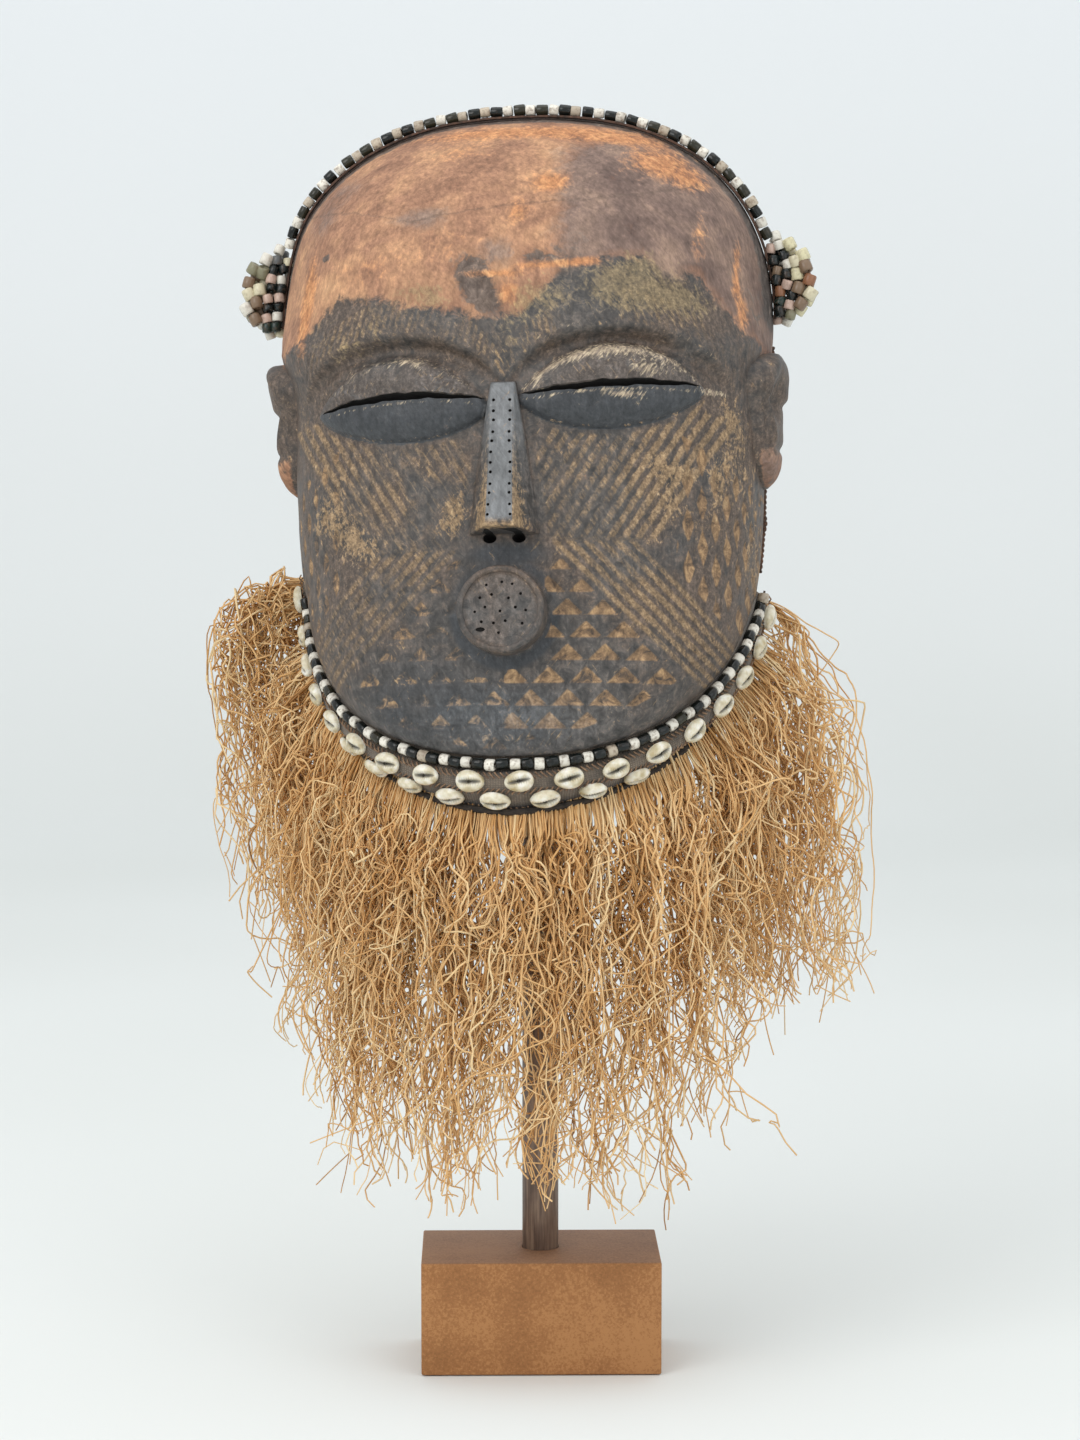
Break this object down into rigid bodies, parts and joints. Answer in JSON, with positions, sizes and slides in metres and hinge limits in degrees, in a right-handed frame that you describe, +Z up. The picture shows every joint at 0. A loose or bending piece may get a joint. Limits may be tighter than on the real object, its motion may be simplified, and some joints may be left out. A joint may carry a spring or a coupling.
{
  "type": "beaded mask",
  "caption": "carved wooden face mask with bead strings along crown and chin, a cowrie collar and a long raffia beard, held upright on a rod in a plain block for display",
  "frame": {"origin": "the middle of the base block's underside", "axes": "+Z up along the rod, -Y toward the viewer, +X to the viewer's right; the mask on the rod is turned and leans back a little"},
  "size_m": [0.331, 0.1693, 0.6257],
  "materials": {
    "carved_wood": "carved wood with a dark worn patina, raw ochre wood on the forehead and in the cut patterns",
    "glass_bead": "glossy short cylinder beads, dark green-black and white by turns",
    "rosette_bead": "glossy beads in black, white, cream and olive",
    "binding": "dark stitched strip",
    "cord": "dark brown twisted and knotted cord",
    "collar_cloth": "coarse brown-grey cloth, soiled",
    "cowrie": "glossy cream shell with a brown toothed slit",
    "raffia": "dry golden-brown raffia fibre, wavy, frayed",
    "rod_wood": "dark brown painted round rod",
    "block_board": "bare medium brown fibreboard, finely mottled"
  },
  "bodies": {
    "root": {"mask_shell": "carved_wood", "crown_binding": "binding", "crown_bead_string": "glass_bead", "chin_bead_string": "glass_bead", "left_bead_rosette": "rosette_bead", "right_bead_rosette": "rosette_bead", "left_side_cord": "cord", "right_side_cord": "cord", "chin_collar": "collar_cloth", "upper_cowrie_01": "cowrie", "upper_cowrie_02": "cowrie", "upper_cowrie_03": "cowrie", "upper_cowrie_04": "cowrie", "upper_cowrie_05": "cowrie", "upper_cowrie_06": "cowrie", "upper_cowrie_07": "cowrie", "upper_cowrie_08": "cowrie", "upper_cowrie_09": "cowrie", "upper_cowrie_10": "cowrie", "upper_cowrie_11": "cowrie", "upper_cowrie_12": "cowrie", "upper_cowrie_13": "cowrie", "upper_cowrie_14": "cowrie", "upper_cowrie_15": "cowrie", "upper_cowrie_16": "cowrie", "upper_cowrie_17": "cowrie", "upper_cowrie_18": "cowrie", "lower_cowrie_01": "cowrie", "lower_cowrie_02": "cowrie", "lower_cowrie_03": "cowrie", "lower_cowrie_04": "cowrie", "lower_cowrie_05": "cowrie", "lower_cowrie_06": "cowrie", "lower_cowrie_07": "cowrie", "lower_cowrie_08": "cowrie", "raffia_beard": "raffia", "stand_rod": "rod_wood", "base_block": "block_board"}
  },
  "joints": []
}
